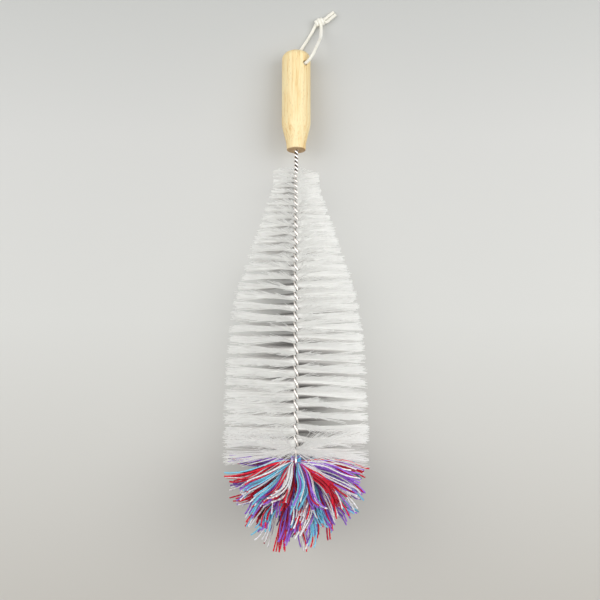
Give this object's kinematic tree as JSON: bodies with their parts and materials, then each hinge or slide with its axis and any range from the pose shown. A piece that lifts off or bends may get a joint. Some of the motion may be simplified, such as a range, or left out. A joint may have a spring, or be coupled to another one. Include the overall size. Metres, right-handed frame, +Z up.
{
  "type": "bottle brush",
  "caption": "Bottle brush: wooden handle with a hanging cord, twisted wire stem, clear tapered bristles and a mop of coloured yarn at the tip.",
  "frame": {"origin": "on the surface that the brush lies on, under the middle of the brush without its cord", "axes": "+Z up, +Y along the brush towards the butt of the handle, +X to the right when seen from above with the handle at the top"},
  "size_m": [0.0906, 0.3483, 0.0903],
  "materials": {
    "wood": "satin",
    "steel_wire": "satin",
    "clear_nylon": "satin",
    "yarn_mixed": "matte",
    "white_yarn": "matte",
    "red_yarn": "matte",
    "violet_yarn": "matte",
    "blue_yarn": "matte",
    "cotton_cord": "matte"
  },
  "bodies": {
    "root": {"handle": "wood", "wire_stem": "steel_wire", "bristles": "clear_nylon", "yarn_waist": "yarn_mixed", "yarn_white": "white_yarn", "yarn_red": "red_yarn", "yarn_violet": "violet_yarn", "yarn_blue": "blue_yarn", "hang_cord": "cotton_cord", "cord_knot": "cotton_cord", "cord_tails": "cotton_cord"}
  },
  "joints": []
}
